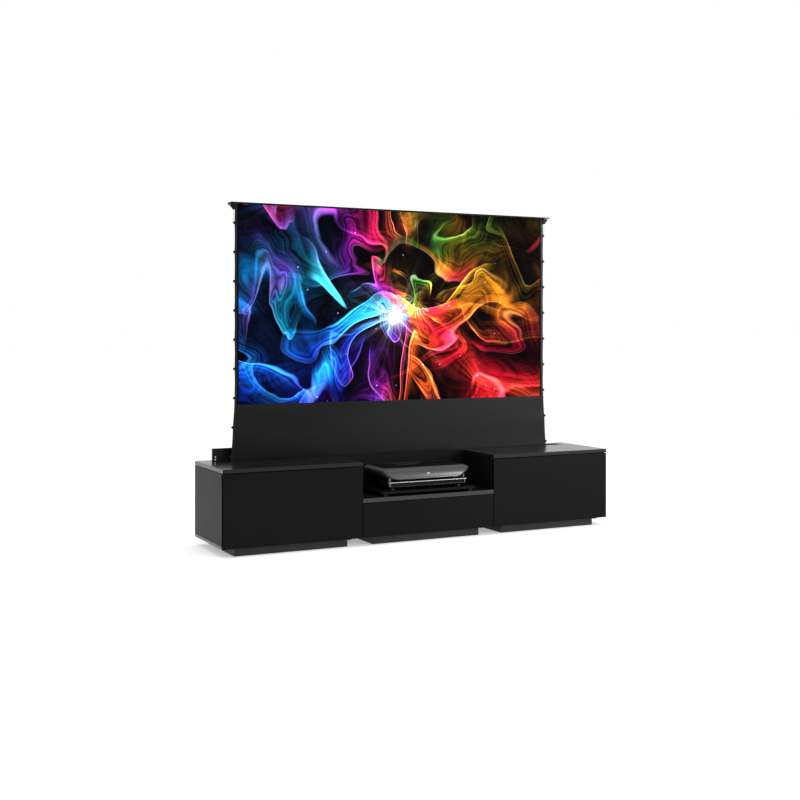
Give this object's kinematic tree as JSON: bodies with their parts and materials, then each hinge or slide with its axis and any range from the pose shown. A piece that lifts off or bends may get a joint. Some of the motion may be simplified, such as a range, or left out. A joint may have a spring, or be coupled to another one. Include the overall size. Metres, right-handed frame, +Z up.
{
  "type": "home projection unit",
  "caption": "Low media console with a short-throw projector on a sliding tray, drop-down flaps, a drawer and a screen that rises from its top.",
  "frame": {"origin": "floor level, centre of the footprint", "axes": "+X to the viewer's right along the console, +Y back towards the wall, +Z up"},
  "size_m": [2.71, 0.536, 2.105],
  "materials": {
    "black_lacquer": "satin black lacquer on fibreboard",
    "drawer_wood": "dark melamine",
    "black_plastic": "fine moulded texture",
    "steel": "zinc plated",
    "satin_cover": "satin graphite paint",
    "bright_trim": "bright satin",
    "status_lens": "clear smoked lens",
    "lens_glass": "coated clear glass",
    "mirror": "polished",
    "alloy": "mill finish",
    "lens_black": "black anodised",
    "circuit_board": "solder mask",
    "rubber_foot": "matt",
    "arm_alloy": "black anodised",
    "black_bar": "black anodised",
    "screen_fabric": "matt black screen cloth with a projected picture area"
  },
  "bodies": {
    "console": {"left_top_board": "black_lacquer", "right_top_board": "black_lacquer", "rear_top_rail": "black_lacquer", "left_outer_side": "black_lacquer", "right_outer_side": "black_lacquer", "inner_sides": "black_lacquer", "left_bottom_board": "black_lacquer", "middle_bottom_board": "black_lacquer", "right_bottom_board": "black_lacquer", "left_plinth": "black_lacquer", "middle_plinth": "black_lacquer", "right_plinth": "black_lacquer", "bay_shelf": "black_lacquer", "bay_back_wall": "black_lacquer", "screen_walls": "black_lacquer", "back_panel": "black_lacquer", "cable_grommets": "black_plastic", "flap_hinge_leaves": "steel", "fixed_runners": "steel", "roller_brackets": "steel", "roller_motor": "alloy", "arm_posts": "steel", "screen_fabric": "screen_fabric", "edge_tabs": "black_plastic", "control_box": "black_plastic"},
    "left_flap": {"left_flap": "black_lacquer", "left_flap_leaves": "steel"},
    "right_flap": {"right_flap": "black_lacquer", "right_flap_leaves": "steel"},
    "drawer": {"drawer_front": "black_lacquer", "drawer_box": "drawer_wood", "drawer_runners": "steel"},
    "tray": {"tray_board": "black_lacquer", "tray_runners": "steel", "projector_base_pan": "black_plastic", "projector_grille": "black_plastic", "projector_trim_band": "bright_trim", "projector_top_cover": "satin_cover", "projector_rear_panel": "black_plastic", "lens_bezel": "black_plastic", "lens_window": "lens_glass", "projector_mirror": "mirror", "lens_barrel": "lens_black", "light_engine": "alloy", "heat_sink": "alloy", "fan_frames": "black_plastic", "main_board": "circuit_board", "projector_feet": "rubber_foot", "status_window": "status_lens"},
    "left_fan": {"left_fan_rotor": "black_plastic"},
    "right_fan": {"right_fan_rotor": "black_plastic"},
    "button": {"power_button": "bright_trim"},
    "roller": {"roller_tube": "alloy", "fabric_roll": "screen_fabric"},
    "left_lower_link": {"left_lower_arm": "arm_alloy"},
    "left_upper_link": {"left_upper_arm": "arm_alloy"},
    "right_lower_link": {"right_lower_arm": "arm_alloy"},
    "right_upper_link": {"right_upper_arm": "arm_alloy"},
    "top_bar": {"top_bar": "black_bar", "top_bar_wings": "black_plastic"}
  },
  "joints": [
    {"name": "left_flap_hinge", "type": "hinge", "parent": "console", "child": "left_flap", "pos_m": [-0.909, -0.249, 0.047], "axis": [1, 0, 0], "range_deg": [0, 90]},
    {"name": "right_flap_hinge", "type": "hinge", "parent": "console", "child": "right_flap", "pos_m": [0.909, -0.249, 0.047], "axis": [1, 0, 0], "range_deg": [0, 90]},
    {"name": "drawer_slide", "type": "slide", "parent": "console", "child": "drawer", "axis": [0, -1, 0], "range_m": [0, 0.26]},
    {"name": "tray_slide", "type": "slide", "parent": "console", "child": "tray", "axis": [0, -1, 0], "range_m": [0, 0.2]},
    {"name": "left_fan_spin", "type": "hinge", "parent": "tray", "child": "left_fan", "pos_m": [-0.215, -0.04, 0.386], "axis": [1, 0, 0], "continuous": true},
    {"name": "right_fan_spin", "type": "hinge", "parent": "tray", "child": "right_fan", "pos_m": [0.215, -0.04, 0.386], "axis": [1, 0, 0], "continuous": true},
    {"name": "power_button_press", "type": "slide", "parent": "tray", "child": "button", "axis": [-1, 0, 0], "range_m": [0, 0.0012], "stiffness_N_per_m": 400},
    {"name": "screen_lift", "type": "hinge", "parent": "console", "child": "left_lower_link", "pos_m": [-0.94, 0.184, 0.33], "axis": [0, 1, 0], "range_deg": [0, 75.9], "deforming": ["screen_fabric", "edge_tabs"]},
    {"name": "left_elbow", "type": "hinge", "parent": "left_lower_link", "child": "left_upper_link", "pos_m": [-0.78893, 0.198, 1.18678], "axis": [0, 1, 0], "range_deg": [-151.8, 0]},
    {"name": "top_bar_pivot", "type": "hinge", "parent": "left_upper_link", "child": "top_bar", "pos_m": [-0.94, 0.198, 2.04357], "axis": [0, 1, 0], "range_deg": [0, 75.9]},
    {"name": "right_lower_fold", "type": "hinge", "parent": "console", "child": "right_lower_link", "pos_m": [0.94, 0.184, 0.33], "axis": [0, 1, 0], "range_deg": [-75.9, 0]},
    {"name": "right_elbow", "type": "hinge", "parent": "right_lower_link", "child": "right_upper_link", "pos_m": [0.78893, 0.198, 1.18678], "axis": [0, 1, 0], "range_deg": [0, 151.8]},
    {"name": "roller_spin", "type": "hinge", "parent": "console", "child": "roller", "pos_m": [0, 0.195, 0.2], "axis": [1, 0, 0], "range_deg": [0, 3559]}
  ],
  "couplings": [
    {"joint": "left_elbow", "follows": "screen_lift", "ratio": -2},
    {"joint": "top_bar_pivot", "follows": "screen_lift", "ratio": 1},
    {"joint": "right_lower_fold", "follows": "screen_lift", "ratio": -1},
    {"joint": "right_elbow", "follows": "screen_lift", "ratio": 2},
    {"joint": "roller_spin", "follows": "screen_lift", "ratio": 46.86}
  ]
}
